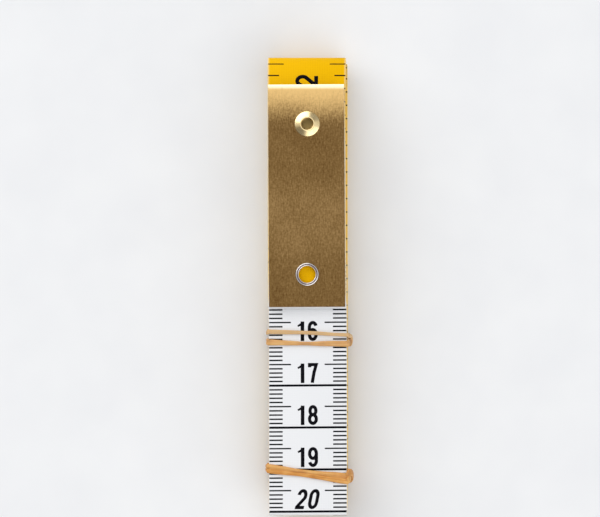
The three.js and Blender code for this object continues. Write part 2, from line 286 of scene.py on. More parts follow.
def addNode(tree, kind, inputs=(), **settings):
    node = tree.nodes.new(kind)
    for key, value in settings.items():
        setattr(node, key, value)
    for key, value in dict(inputs).items():
        if isinstance(value, bpy.types.NodeSocket):
            tree.links.new(value, node.inputs[key])
        else:
            node.inputs[key].default_value = value
    return node


def addMath(tree, operation, *values):
    return addNode(tree, "ShaderNodeMath", enumerate(values), operation=operation).outputs[0]


# Maps one range of a value to another, with soft ends where they are asked for.
def addRange(tree, value, low=0, high=1, toLow=0, toHigh=1, soft=False):
    return addNode(
        tree, "ShaderNodeMapRange",
        {"Value": value, "From Min": low, "From Max": high, "To Min": toLow, "To Max": toHigh},
        interpolation_type="SMOOTHSTEP" if soft else "LINEAR",
    ).outputs[0]


def addMix(tree, share, first, second):
    sockets = {"Factor": share, "A": first, "B": second}
    return addNode(tree, "ShaderNodeMix", sockets, data_type="RGBA").outputs[2]


# Noise on the object's own coordinates, or on another vector
def addNoise(tree, scale, stretch=(1, 1, 1), detail=3, vector=None):
    if vector is None:
        vector = addNode(tree, "ShaderNodeTexCoord").outputs["Object"]
    mapping = addNode(tree, "ShaderNodeMapping", {"Vector": vector, "Scale": stretch})
    return addNode(
        tree, "ShaderNodeTexNoise",
        {"Vector": mapping.outputs[0], "Scale": scale, "Detail": detail},
    ).outputs["Fac"]


def ramp(tree, value, stops):
    node = addNode(tree, "ShaderNodeValToRGB", {"Fac": value})
    while len(node.color_ramp.elements) < len(stops):
        node.color_ramp.elements.new(0.5)
    for element, (position, color) in zip(node.color_ramp.elements, stops):
        element.position = position
        element.color = (*color, 1)
    return node.outputs["Color"]


def addBump(tree, shader, height, strength, distance):
    bump = addNode(
        tree, "ShaderNodeBump",
        {"Height": height, "Strength": strength, "Distance": distance},
    )
    tree.links.new(bump.outputs[0], shader.inputs["Normal"])


# Coated glass-fibre cloth: a smooth colour with a fine weave that only shows close to. Where `edge` is
# given, the outermost threads are of that colour; their reach is in millimetres from the middle.
def clothMaterial(name, light, dark, roughness, edge=None):
    look = {"threads": 0.55, "waver": 0.4, "darkAt": 0.75, "edgeReach": (8.85, 9.2), "edgeShare": 0.65}
    material, tree, shader = newMaterial(name, roughness, metallic=0, specular=0.05)
    flat = addNode(tree, "ShaderNodeUVMap", uv_map="tapeUv").outputs[0]
    threads = [
        addNode(
            tree, "ShaderNodeTexWave",
            {"Vector": flat, "Scale": look["threads"], "Distortion": look["waver"]},
            bands_direction=direction, wave_profile="SIN",
        ).outputs["Fac"]
        for direction in ("X", "Y")
    ]
    weave = addMath(tree, "MULTIPLY", *threads)
    patchy = addMath(tree, "MULTIPLY", weave, addNoise(tree, scale=90, detail=2))
    color = ramp(tree, patchy, [(0.0, light), (look["darkAt"], dark)])
    if edge:
        across = addNode(tree, "ShaderNodeSeparateXYZ", {"Vector": flat}).outputs["X"]
        across = addMath(tree, "ABSOLUTE", across)
        share = addRange(tree, across, *look["edgeReach"], toHigh=look["edgeShare"])
        color = addMix(tree, share, color, (*edge, 1))
    tree.links.new(color, shader.inputs["Base Color"])
    addBump(tree, shader, weave, strength=0.15, distance=0.00003)
    return material


def inkMaterial():
    material, tree, shader = newMaterial("printInk", roughness=0.7, metallic=0, specular=0.03)
    spots = addNoise(tree, scale=2500, detail=2)
    color = ramp(tree, spots, [(0.3, (0.003, 0.003, 0.005)), (0.75, (0.008, 0.008, 0.011))])
    tree.links.new(color, shader.inputs["Base Color"])
    return material


# Rolled brass sheet, browned by handling: fine lengthwise streaks, a broad wave of lighter and darker tone,
# a painted sheen that makes the tip lighter, and a painted highlight along the line where the sheet turns
# over. Its places are in metres along the object.
def brassMaterial():
    look = {
        "streaks": (3400, (1, 0.22, 1), 4), "mottle": (2400, (1, 0.9, 1), 5),
        "clouds": (150, (1, 0.7, 1), 3), "cloudShare": 0.5, "grainRange": (0.82, 1.68),
        "waveRate": 174.5, "wavePhase": -1.17, "waveShare": 0.17,
        "browned": [
            (0.0, (0.131, 0.068, 0.020)), (0.5, (0.2145, 0.1257, 0.044)), (1.0, (0.34, 0.2126, 0.086)),
        ],
        # The painted sheen on the tip and the painted highlight along the fold at the tip
        "raggedness": 0.004, "paintedTipSheenReach": (0.043, 0.0522), "paintedTipSheenShare": 0.9,
        "paintedFoldHighlightReach": (0.0467, 0.0475), "paintedTipSheen": (0.80, 0.53, 0.21, 1), "paintedFoldHighlight": (1.0, 0.88, 0.6, 1),
        "roughness": (0.42, 0.3),
    }
    material, tree, shader = newMaterial("rolledBrass", roughness=0.34, metallic=1, specular=0.5)
    streaks, mottle, clouds = [addNoise(tree, *look[name]) for name in ("streaks", "mottle", "clouds")]
    grain = addMath(tree, "ADD", streaks, mottle)
    grain = addMath(tree, "MULTIPLY_ADD", clouds, look["cloudShare"], grain)
    place = addNode(tree, "ShaderNodeTexCoord").outputs["Object"]
    lengthwise = addNode(tree, "ShaderNodeSeparateXYZ", {"Vector": place}).outputs["Y"]
    wave = addMath(tree, "MULTIPLY_ADD", lengthwise, look["waveRate"], look["wavePhase"])
    wave = addMath(tree, "SINE", wave)
    tone = addRange(tree, grain, *look["grainRange"])
    tone = addMath(tree, "MULTIPLY_ADD", wave, look["waveShare"], tone)
    browned = ramp(tree, tone, look["browned"])
    # Painted sheen: the tip is painted lighter in place of the brighter reflection of its curved sheet; its
    # edge is ragged with the grain.
    ragged = addMath(tree, "MULTIPLY_ADD", grain, look["raggedness"], lengthwise)
    paintedTipSheen = addRange(tree, ragged, *look["paintedTipSheenReach"], toHigh=look["paintedTipSheenShare"], soft=True)
    # Painted highlight: a pale band of colour along the fold at the tip, in place of the light it catches.
    paintedFoldHighlight = addRange(tree, lengthwise, *look["paintedFoldHighlightReach"], soft=True)
    color = addMix(tree, paintedTipSheen, browned, addMix(tree, paintedFoldHighlight, look["paintedTipSheen"], look["paintedFoldHighlight"]))
    tree.links.new(color, shader.inputs["Base Color"])
    dull, smoothest = look["roughness"]
    tree.links.new(addRange(tree, tone, toLow=dull, toHigh=smoothest), shader.inputs["Roughness"])
    addBump(tree, shader, streaks, strength=0.25, distance=0.00002)
    return material


def polishedMaterial(name, light, dark, roughness, metallic=1):
    material, tree, shader = newMaterial(name, roughness, metallic, specular=0.5)
    wear = addNoise(tree, scale=700, detail=4)
    tree.links.new(ramp(tree, wear, [(0.3, dark), (0.7, light)]), shader.inputs["Base Color"])
    rough = addRange(tree, wear, toLow=roughness * 0.7, toHigh=roughness * 1.5)
    tree.links.new(rough, shader.inputs["Roughness"])
    addBump(tree, shader, wear, strength=0.08, distance=0.00003)
    return material


# Tan rubber with its fibres along the band; the band's mesh says how pale it is: partly the rubber's own
# tone, and partly a painted highlight on the strand nearer the brass end.
def rubberMaterial():
    material, tree, shader = newMaterial("tanRubber", roughness=0.55, metallic=0, specular=0.35)
    shader.inputs["Subsurface Weight"].default_value = 0.25
    shader.inputs["Subsurface Radius"].default_value = (0.0009, 0.0005, 0.0002)
    flat = addNode(tree, "ShaderNodeUVMap", uv_map="bandUv").outputs[0]
    fibres = addNoise(tree, scale=1.0, stretch=(4.0, 0.09, 1), detail=3, vector=flat)
    patches = addNoise(tree, scale=1.0, stretch=(0.7, 0.3, 1), detail=2, vector=flat)
    tone = addRange(tree, addMath(tree, "ADD", fibres, patches), low=0.7, high=1.3)
    tan = ramp(tree, tone, [
        (0.0, (0.47, 0.185, 0.035)), (0.5, (0.64, 0.285, 0.06)), (1.0, (0.74, 0.41, 0.125)),
    ])
    paleAndSheen = addNode(tree, "ShaderNodeAttribute", attribute_name="palenessAndSheen").outputs["Fac"]
    tree.links.new(addMix(tree, paleAndSheen, tan, (0.64, 0.48, 0.27, 1)), shader.inputs["Base Color"])
    addBump(tree, shader, fibres, strength=0.3, distance=0.00004)
    return material


def floorMaterial():
    material, tree, shader = newMaterial("paleFloor", roughness=0.9, metallic=0, specular=0.2)
    grain = addNoise(tree, scale=60, detail=2)
    color = ramp(tree, grain, [(0.3, (0.80, 0.81, 0.83)), (0.7, (0.83, 0.84, 0.855))])
    tree.links.new(color, shader.inputs["Base Color"])
    return material


yellowCloth = clothMaterial(
    "yellowCloth", (0.83, 0.465, 0.0), (0.79, 0.42, 0.0), 0.6, edge=(0.9, 0.72, 0.38),
)
whiteCloth = clothMaterial("whiteCloth", (0.81, 0.82, 0.84), (0.76, 0.77, 0.79), 0.5)
edgeCloth = clothMaterial("wovenEdge", (0.92, 0.68, 0.27), (0.87, 0.58, 0.17), 0.7)
ink = inkMaterial()
brass = brassMaterial()
brightBrass = polishedMaterial("brightBrass", (0.98, 0.80, 0.46), (0.88, 0.66, 0.32), 0.21)
dullBrass = polishedMaterial("dullBrass", (0.21, 0.145, 0.053), (0.15, 0.10, 0.036), 0.35)
nickel = polishedMaterial("nickelPlate", (0.88, 0.86, 0.85), (0.72, 0.69, 0.68), 0.14)
# Dark nickel for the eyelet's groove: painted shade, a dark ring in place of the shade and dark reflection
# there
paintedShadeNickel = polishedMaterial("paintedShadeNickel", (0.24, 0.18, 0.20), (0.15, 0.11, 0.12), 0.35)
satinNickel = polishedMaterial("satinNickel", (0.86, 0.84, 0.80), (0.80, 0.78, 0.74), 0.4, 0)
rubber = rubberMaterial()
print("materials made")


# Points on an arc of an ellipse, from one angle to another in degrees
def arc(x, y, width, height, start, end, steps=14):
    angles = [math.radians(start + (end - start) * i / steps) for i in range(steps + 1)]
    return [(x + width * math.cos(a), y + height * math.sin(a)) for a in angles]


# Printed digits as pen strokes in a box one wide and one high; a third value narrows the pen there.
def strokesOf(digit):
    if digit == "0":
        return [arc(0.5, 0.7, 0.5, 0.3, 0, 180) + arc(0.5, 0.3, 0.5, 0.3, 180, 360) + [(1, 0.7)]]
    if digit == "1":
        return [[(1, -0.1, 1.1), (1, 1.07, 1.1)], [(1.2, 0.96, 0.85), (0.55, 0.89, 0.75), (-0.32, 0.79, 0.5)]]
    if digit == "2":
        return [arc(0.5, 0.71, 0.5, 0.29, 172, -32) + [(0.0, 0.04), (0.0, 0.0), (1.08, 0.0)]]
    if digit == "3":
        return [
            arc(0.48, 0.75, 0.44, 0.25, 165, -90),
            arc(0.48, 0.26, 0.5, 0.26, 90, -165),
        ]
    if digit == "4":
        return [[(1.12, 0.25), (0.0, 0.25), (0.7, 1.0)], [(0.74, -0.085), (0.74, 1.085)]]
    if digit == "5":
        return [[(1.0, 1.0), (0.14, 1.0), (0.06, 0.5)] + arc(0.48, 0.31, 0.5, 0.31, 130, -165)]
    if digit == "6":
        return [
            arc(0.5, 0.72, 0.5, 0.28, 18, 180) + [(0.0, 0.29)],
            arc(0.5, 0.29, 0.5, 0.29, 180, 540, 24),
        ]
    if digit == "7":
        return [[(0.02, 0.84), (0.02, 1.0), (1.0, 1.0), (0.68, 0.55), (0.4, -0.09)]]
    if digit == "8":
        return [arc(0.5, 0.755, 0.43, 0.245, 0, 360, 24), arc(0.5, 0.26, 0.5, 0.26, 0, 360, 24)]
    turned = strokesOf("6")
    return [[(1 - x, 1 - y) for x, y in stroke] for stroke in turned]


# One pen stroke: an edge as wide as the pen, extruded from point to point
def drawStroke(bm, points, pen, place):
    longestMitre = 1.6
    closed = math.dist(points[0][:2], points[-1][:2]) < 1e-4
    ribs = []
    count = len(points)
    widths = [pen * (point[2] if len(point) > 2 else 1) for point in points]
    points = [Vector(point[:2]) for point in points]
    for i, point in enumerate(points):
        before = points[i - 1] if i else points[-2] if closed else None
        after = points[i + 1] if i < count - 1 else points[1] if closed else None
        legs = [b - a for a, b in ((before, point), (point, after)) if a is not None and b is not None]
        sides = [Vector((-leg.y, leg.x)).normalized() for leg in legs]
        mitre = sides[0] + sides[-1]
        mitre *= min(2 / mitre.length_squared, longestMitre / mitre.length)
        ribs.append([point + mitre * side * widths[i] / 2 for side in (-1, 1)])
    edge = bm.edges.new([bm.verts.new(place(rib)) for rib in ribs[0]])
    faces = []
    for left, right in ribs[1:]:
        ends = list(edge.verts)
        grown = bmesh.ops.extrude_edge_only(bm, edges=[edge])["geom"]
        edge = next(g for g in grown if isinstance(g, bmesh.types.BMEdge))
        faces += [g for g in grown if isinstance(g, bmesh.types.BMFace)]
        for vert in edge.verts:
            near = next(e.other_vert(vert) for e in vert.link_edges if e.other_vert(vert) in ends)
            vert.co = place(left if near is ends[0] else right)
    return faces


# The print, in millimetres. Each further stroke of a digit stands higher by "strokeLift", so that no two
# strokes share a surface.
printing = {
    "raise": 0.006, "inkDepth": 0.02, "strokeLift": 0.0015, "margin": 0.1, "skew": 0.007,
    "centimetreStart": -0.17, "inchStart": -2.45, "inch": 25.4,
    "millimetreTick": (3.2, 0.36), "halfTick": (5.2, 0.34), "centimetreLine": 0.52,
    "eighthTick": (2.6, 0.31), "quarterTick": (3.7, 0.31), "halfInchTick": (5.2, 0.31), "inchLine": 0.34,
    "digitHeight": 4.76, "digitWidth": 2.4, "pen": 0.79, "spacing": 0.5, "aboveLine": 0.58, "slant": 0.2,
    "inchDigitHeight": 5.42, "inchDigitWidth": 3.05, "inchPen": 0.92, "inchSpacing": 0.6, "inchAhead": 0.3,
    "inchRoom": 0.9, "oneWidth": 0.69, "oneGap": 0.36, "digitsAside": -0.06,
    "white": (55, 212), "yellow": (55, 600),
}


def addBar(bm, x0, x1, s, thickness, side):
    depth = printing["raise"] + printing["inkDepth"]
    middle = side * (halfTape + printing["raise"] - depth / 2)
    size = Matrix.Diagonal((abs(x1 - x0), thickness, depth, 1))
    place = Matrix.Translation(((x0 + x1) / 2, s, middle))
    bmesh.ops.create_cube(bm, size=1, matrix=place @ size)


# A number on one face of the tape; `place` turns the page (right, up) into (across, along).
def addNumber(bm, text, height, width, pen, spacing, slant, side, place):
    widths = [width * (printing["oneWidth"] if digit == "1" else 1) for digit in text]
    gaps = [spacing + (printing["oneGap"] if digit == "1" else 0) for digit in text[:-1]] + [0]
    right = -(sum(widths) + sum(gaps)) / 2
    base = side * (halfTape - printing["inkDepth"])

    def onTape(p):
        x, s = place(p[0] + slant * (p[1] - height / 2), p[1])
        return Vector((x, s, base))

    for digit, wide, gap in zip(text, widths, gaps):
        for order, stroke in enumerate(strokesOf(digit)):
            points = [
                (right + pen / 2 + x * (wide - pen), pen / 2 + y * (height - pen), *narrowed)
                for x, y, *narrowed in stroke
            ]
            faces = drawStroke(bm, points, pen, onTape)
            lift = side * (printing["inkDepth"] + printing["raise"] + order * printing["strokeLift"])
            thicken(bm, faces, (0, 0, lift))
        right += wide + gap


def addTicks(bm, s, length, thickness, side):
    edge = tape["width"] / 2 - printing["margin"]
    addBar(bm, -edge, -edge + length, s, thickness, side)
    addBar(bm, edge - length, edge, s, thickness, side)


# Centimetres stand upright on the white face, each number just before its line.
def printCentimetres(bm, start, end):
    edge = tape["width"] / 2 - printing["margin"]
    for millimetre in range(math.ceil(start), math.floor(end) + 1):
        s = millimetre + printing["centimetreStart"]
        if millimetre % 10 == 0:
            addBar(bm, -edge, edge, s, printing["centimetreLine"], -1)
            number = str(millimetre // 10)
            slant = printing["slant"] if number.endswith("0") else 0
            foot = s - printing["aboveLine"]
            addNumber(
                bm, number, printing["digitHeight"], printing["digitWidth"], printing["pen"],
                printing["spacing"], slant, -1, lambda x, y: (x + printing["digitsAside"], foot - y),
            )
        else:
            addTicks(bm, s, *printing["halfTick" if millimetre % 5 == 0 else "millimetreTick"], -1)


# Inches lie along the yellow face, each number on its own line, which stops either side of it.
def printInches(bm, start, end):
    edge = tape["width"] / 2
    height = printing["inchDigitHeight"]
    first = math.ceil((start - printing["inchStart"]) / printing["inch"] * 8)
    final = math.floor((end - printing["inchStart"]) / printing["inch"] * 8)
    for eighth in range(first, final + 1):
        s = eighth / 8 * printing["inch"] + printing["inchStart"]
        if eighth % 8 == 0:
            clear = edge - height / 2 - printing["inchRoom"]
            addTicks(bm, s, clear, printing["inchLine"], 1)
            addNumber(
                bm, str(eighth // 8), height, printing["inchDigitWidth"], printing["inchPen"],
                printing["inchSpacing"], 0, 1, lambda x, y: (height / 2 - y, s + printing["inchAhead"] + x),
            )
        else:
            name = "halfInchTick" if eighth % 4 == 0 else "quarterTick" if eighth % 2 == 0 else "eighthTick"
            addTicks(bm, s, *printing[name], 1)


cloths = [yellowCloth, whiteCloth, edgeCloth]
inkIndex = len(cloths)


# Punches the rivet's and the eyelet's holes through the flat tape.
def punchTape(bm, holes):
    blank = makeObject("tapeBlank", bm, cloths)
    pins = bmesh.new()
    for x, y, radius in holes:
        addPin(pins, (x, path[0].x - y, 0), radius, depth=4, segments=48)
    for face in pins.faces:
        face.material_index = cloths.index(edgeCloth)
    cutter = makeObject("tapePunch", pins, cloths)
    punched = bmesh.new()
    punched.from_mesh(cutAway(blank, cutter))
    bpy.data.objects.remove(blank)
    return punched


# Cuts the print wherever the path bends, so that it can bend with the tape.
def cutPrint(bm, start, end):
    near, straight = 0.01, 0.9999
    for i, s in enumerate(along[1:-1], 1):
        if not start < s < end or normals[i - 1].dot(normals[i + 1]) >= straight:
            continue
        faces = [f for f in bm.faces if f.material_index == inkIndex and
                 min(v.co.y for v in f.verts) < s - near and max(v.co.y for v in f.verts) > s + near]
        if faces:
            edges, verts = {e for f in faces for e in f.edges}, {v for f in faces for v in f.verts}
            bmesh.ops.bisect_plane(
                bm, geom=faces + list(edges) + list(verts), plane_co=(0, s, 0), plane_no=(0, 1, 0), dist=1e-5,
            )


# A stretch of the tape: a long flat box cut at the path's stations, printed, then wound.
def makeTape(name, start, end, holes=()):
    near = 0.01
    stations = [start] + [s for s in along if start + near < s < end - near] + [end]
    bm = bmesh.new()
    size = Matrix.Diagonal((tape["width"], 1, tape["thickness"], 1))
    bmesh.ops.create_cube(bm, size=1, matrix=Matrix.Translation((0, 0.5, 0)) @ size)
    lengthwise = [e for e in bm.edges if abs(e.verts[0].co.y - e.verts[1].co.y) > 0.5]
    cuts = len(stations) - 2
    bmesh.ops.subdivide_edges(bm, edges=lengthwise, cuts=cuts)
    for vert in bm.verts:
        vert.co.y = stations[round(vert.co.y * (cuts + 1))]
    corners = [e for e in bm.edges if len({round(v.co.z, 3) for v in e.verts}) == 1
               and len({round(v.co.x, 3) for v in e.verts}) == 1]
    bmesh.ops.bevel(
        bm, geom=corners, offset=tape["edgeRound"], segments=2, affect="EDGES", profile=0.5, material=-1,
    )
    for face in bm.faces:
        looks = yellowCloth if face.normal.z > 0.9 else whiteCloth if face.normal.z < -0.9 else edgeCloth
        face.material_index = cloths.index(looks)
    if holes:
        bm = punchTape(bm, holes)
    plain = set(bm.faces)
    printCentimetres(bm, max(start, printing["white"][0]), min(end, printing["white"][1]))
    printInches(bm, max(start, printing["yellow"][0]), min(end, printing["yellow"][1]))
    printed = [f for f in bm.faces if f not in plain]
    for face in printed:
        face.material_index = inkIndex
    for vert in {v for f in printed for v in f.verts if v.co.z < 0}:
        vert.co.y -= printing["skew"] * vert.co.x
    cutPrint(bm, start, min(end, printing["yellow"][1]))
    uv = bm.loops.layers.uv.new("tapeUv")
    for face in bm.faces:
        for loop in face.loops:
            loop[uv].uv = (loop.vert.co.x, loop.vert.co.y)
    printed = [f for f in bm.faces if f.material_index == inkIndex]
    bmesh.ops.recalc_face_normals(bm, faces=printed)
    for vert in bm.verts:
        vert.co = wind(vert.co)
    return makeObject(name, bm, cloths + [ink])


# The tape is two pieces that meet at the middle of the flap; each is blended across one of its folds.
def makeTapes():
    middle = marks["flapMiddle"]
    play, tucked, inset = 0.15, 0.25, 0.05
    woundTape = makeTape("woundTape", middle, tape["length"])
    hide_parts("tape_coil")
    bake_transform(woundTape)
    endTape = makeTape("endTape", tucked, middle, [
        (brassEnd["aside"] + rivet["aside"], rivetY, rivet["shank"] + play),
        (brassEnd["aside"] + eyelet["aside"], eyeletY, eyelet["bore"] + eyelet["wall"] + play),
    ])
    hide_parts("tape_flap", "tape_tongue")
    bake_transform(endTape)


makeTapes()
print("tape wound and printed")


# A thin clip crimped over the tape's inner end
def makeClip():
    clip = {"length": 7, "sheet": 0.15, "margin": 0.2, "steps": 6}
    inner, outer = halfTape, halfTape + clip["sheet"]
    start, end = tape["length"] - clip["length"], tape["length"]
    outline = [(start, outer), (end + clip["sheet"], outer), (end + clip["sheet"], -outer), (start, -outer),
               (start, -inner), (end, -inner), (end, inner), (start, inner)]
    bm = bmesh.new()
    face = bm.faces.new([bm.verts.new((-tape["width"] / 2 + clip["margin"], s, n)) for s, n in outline])
    thicken(bm, [face], (tape["width"] - 2 * clip["margin"], 0, 0))
    for i in range(1, clip["steps"]):
        s = start + clip["length"] * i / clip["steps"]
        whole = bm.verts[:] + bm.edges[:] + bm.faces[:]
        bmesh.ops.bisect_plane(bm, geom=whole, plane_co=(0, s, 0), plane_no=(0, 1, 0))
    bmesh.ops.recalc_face_normals(bm, faces=bm.faces)
    for vert in bm.verts:
        vert.co = wind(vert.co)
    piece = makeObject("innerEndClip", bm, [nickel], flat=True)
    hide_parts("far_end_clip")
    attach(piece, "root")


makeClip()


# Leans a piece of the brass end as the whole end leans, and puts it where it belongs.
def leanEnd(bm):
    turn = Matrix.Rotation(brassEnd["lean"], 4, "Z")
    about = Matrix.Translation((0, brassEnd["mouth"], 0))
    home = Matrix.Translation((tapeX + brassEnd["aside"], 0, 0))
    bmesh.ops.transform(bm, matrix=home @ about @ turn @ about.inverted(), verts=bm.verts)
    bmesh.ops.scale(bm, vec=(mm, mm, mm), verts=bm.verts)


# A turned piece: its half section spun about an upright axis; `pick` says which material a face takes.
def makeTurned(name, section, x, y, materials, pick, node):
    bm = bmesh.new()
    verts = [bm.verts.new((radius, 0, z)) for radius, z in section]
    edges = [bm.edges.new(pair) for pair in zip(verts, verts[1:])]
    bmesh.ops.spin(
        bm, geom=verts + edges, cent=(0, 0, 0), axis=(0, 0, 1), angle=math.tau, steps=72, use_merge=True,
    )
    bmesh.ops.remove_doubles(bm, verts=bm.verts, dist=0.0005)
    bmesh.ops.recalc_face_normals(bm, faces=bm.faces)
    for face in bm.faces:
        centre = face.calc_center_median()
        face.material_index = pick(math.hypot(centre.x, centre.y), centre.z)
    bmesh.ops.translate(bm, verts=bm.verts, vec=(x, y, 0))
    leanEnd(bm)
    piece = makeObject(name, bm, materials)
    piece.data.set_sharp_from_angle(angle=sharpAngle)
    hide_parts(node)
    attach(piece, "brass_end")


# The rivet: a flat tail at the back, a shank through the layers, and a crowned head with a dimple
def makeRivet():
    top, bottom = sheathTop, sheathBottom - brassEnd["flange"]
    crownX, crownZ, floorZ = rivet["dimple"] + rivet["lip"], top + rivet["height"], top + rivet["floor"]
    rimWidth, rimHeight = rivet["rim"]
    lipWidth, lipHeight = rivet["lipRound"]
    chamferIn, chamferUp = rivet["chamfer"]
    tailX, tailRound = rivet["tail"] - rivet["tailRound"], rivet["tailRound"]
    section = [(0, bottom), (tailX, bottom)]
    section += arc(tailX, bottom + tailRound, tailRound, tailRound, -90, 90, 5)
    section += [(rivet["shank"], sheathBottom), (rivet["shank"], top)]
    section += [(rivet["head"] - rivet["undercut"], top)]
    section += arc(rivet["head"] - rimWidth, top + rimHeight, rimWidth, rimHeight, -20, rivet["slope"], 5)
    section += arc(crownX, crownZ - rivet["crown"], rivet["crown"], rivet["crown"], rivet["slope"], 90, 6)
    section += arc(crownX, crownZ - lipHeight, lipWidth, lipHeight, 90, 175, 6)
    section += [(rivet["dimple"] - chamferIn, floorZ + chamferUp)]
    section += [(rivet["dimple"] - rivet["floorInset"], floorZ), (0, floorZ)]

    def pick(radius, z):
        return 1 if radius < rivet["dimple"] - 0.01 and z > top else 0

    makeTurned(
        "tipRivet", section, rivet["aside"], rivetY, [brightBrass, dullBrass], pick,
        "tip_rivet",
    )


# The eyelet: an open barrel, flared at the back, and a rim with a bead, a groove and an inner lip
def makeEyelet():
    near = 0.01
    top, bottom = sheathTop, sheathBottom - brassEnd["flange"]
    barrel = eyelet["bore"] + eyelet["wall"]
    bead, lip, rise = eyelet["bead"], eyelet["lip"], eyelet["undercut"]
    flare, tailRound = eyelet["flare"], eyelet["tailRound"]
    grooveIn, grooveOut = eyelet["bore"] + 2 * lip, eyelet["rim"] - 2 * bead
    section = [(barrel, sheathBottom), (barrel, top), (eyelet["rim"] - eyelet["undercut"], top)]
    section += arc(eyelet["rim"] - bead, top + rise, bead, eyelet["height"] - rise, 0, 155, 9)
    section += [(grooveOut, top + eyelet["groove"]), (grooveIn, top + eyelet["groove"])]
    section += arc(eyelet["bore"] + lip, top + rise, lip, eyelet["height"] - eyelet["lipDrop"], 25, 180, 9)
    section += [(eyelet["bore"], top - eyelet["straight"]), (eyelet["bore"], bottom + flare)]
    section += arc(eyelet["bore"] + flare, bottom + tailRound, flare, tailRound, 180, 270, 4)
    section += arc(eyelet["rim"] - tailRound, bottom + tailRound, tailRound, tailRound, -90, 90, 5)
    section += [(barrel, sheathBottom)]

    def pick(radius, z):
        if z < top:
            return 2 if radius < eyelet["bore"] + near else 0
        # The groove takes the dark nickel: painted shade.
        return 1 if grooveIn - near < radius < grooveOut + near else 0

    makeTurned(
        "holeEyelet", section, eyelet["aside"], eyeletY, [nickel, paintedShadeNickel, satinNickel], pick,
        "eyelet",
    )


# The brass sheet folded round the tape end, drilled for the rivet and the eyelet
def makeSheath():
    sheath = {
        "bendReach": 1.9, "crownRun": 4.8, "crownDrop": 0.15, "backSetback": 1.52, "edge": 0.08, "hole": 0.15,
        "crownSteps": 8, "outerSteps": 16, "innerSteps": 8,
    }
    width, sheet = brassEnd["width"], brassEnd["sheet"]
    bendY = brassEnd["tip"] - sheath["bendReach"]
    backY = brassEnd["mouth"] + sheath["backSetback"]

    def drop(y):
        return sheath["crownDrop"] * max(0, (y - (bendY - sheath["crownRun"])) / sheath["crownRun"]) ** 2

    steps = sheath["crownSteps"]
    rises = [bendY - sheath["crownRun"] * (1 - i / steps) for i in range(steps + 1)]
    front = [(brassEnd["mouth"], sheathTop)] + [(y, sheathTop - drop(y)) for y in rises]
    bendHalf = (front[-1][1] - sheathBottom) / 2
    steps = sheath["outerSteps"]
    bend = [(bendY + sheath["bendReach"] * math.sin(a), sheathBottom + bendHalf * (1 + math.cos(a)))
            for a in [math.pi * i / steps for i in range(1, steps)]]
    outer = front + bend + [(bendY, sheathBottom), (backY, sheathBottom)]
    innerTop, innerBottom = sheathTop - sheet, sheathBottom + sheet
    innerHalf = (innerTop - innerBottom) / 2
    innerY = brassEnd["tip"] - sheet - innerHalf
    inner = [(backY, innerBottom), (innerY, innerBottom)]
    steps = sheath["innerSteps"]
    inner += [(innerY + innerHalf * math.sin(a), innerBottom + innerHalf * (1 - math.cos(a)))
              for a in [math.pi * i / steps for i in range(1, steps)]]
    inner += [(innerY, innerTop), (brassEnd["mouth"], innerTop)]
    bm = bmesh.new()
    face = bm.faces.new([bm.verts.new((-width / 2, y, z)) for y, z in outer + inner])
    thicken(bm, [face], (width, 0, 0))
    bmesh.ops.recalc_face_normals(bm, faces=bm.faces)
    leanEnd(bm)
    piece = makeObject("brassSheath", bm, [brass])
    holes = bmesh.new()
    for radius, x, y in ((rivet["shank"] + sheath["hole"], rivet["aside"], rivetY),
                         (eyelet["bore"] + eyelet["wall"] + sheath["hole"], eyelet["aside"], eyeletY)):
        addPin(holes, (x, y, tongueZ), radius, depth=6, segments=64)
    leanEnd(holes)
    cutter = makeObject("holeCutter", holes, [brass])
    piece.data = cutAway(piece, cutter)
    piece.modifiers.clear()
    bevel = piece.modifiers.new("edges", "BEVEL")
    bevel.width, bevel.segments, bevel.limit_method = sheath["edge"] * mm, 3, "ANGLE"
    bevel.angle_limit = sharpAngle
    piece.modifiers.new("evenNormals", "WEIGHTED_NORMAL").keep_sharp = True
    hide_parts("brass_sheath")
    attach(piece, "brass_end")


makeSheath()
makeRivet()
makeEyelet()
print("brass end made")

# Each rubber band is one loop wound twice round the bundle; it crosses itself on the right. Its places and
# widths are in millimetres, and those in threes are at the tape's left edge, middle and right edge.
bands = {
    "upper_band": {
        "name": "upperBand", "y": -12.365, "drop": 0.57, "thickness": 0.52, "bulge": 0.25, "leftBulge": 0.1,
        "spacing": (2.52, 2.6, 2.14), "upper": (1.1, 0.88, 0.8), "lower": (1.46, 0.9, 1.42),
        "flare": -0.2, "fuller": 0.12, "aside": 0, "swap": (0.0, 0.62), "rounding": 0.22,
        "paleAndSheen": (0.65, 0.3), "seed": 3.0,
    },
    "lower_band": {
        "name": "lowerBand", "y": -44.6, "drop": 2.43, "thickness": 0.5, "bulge": 0.5, "leftBulge": 0.25,
        "spacing": (1.1, 0.86, 1.27), "upper": (1.14, 0.8, 1.28), "lower": (1.14, 0.95, 1.3),
        "flare": 0.3, "fuller": 0.34, "aside": 0.8, "swap": (0.0, 0.85), "rounding": 0.25,
        "paleAndSheen": (0.1, 0.0), "seed": 11.0,
    },
}
# What both bands share: the play round the bundle, how many steps each part of a turn takes, and the skin.
bandForm = {
    "close": 0.04, "beside": 0.05, "over": 0.03, "humpPower": 0.7, "bulgePower": 0.6,
    "corner": 8, "front": 24, "right": 32, "left": 16,
    "ribs": 16, "squareness": 0.55, "wobble": 0.04, "wobbleRate": 0.9, "grainAcross": 3.2,
}


# A value that eases from the left edge to the middle and on to the right edge
def through(profile, share):
    left, middle, right = profile
    return left + (middle - left) * smooth(share, 0, 0.45) + (right - middle) * smooth(share, 0.45, 0.95)
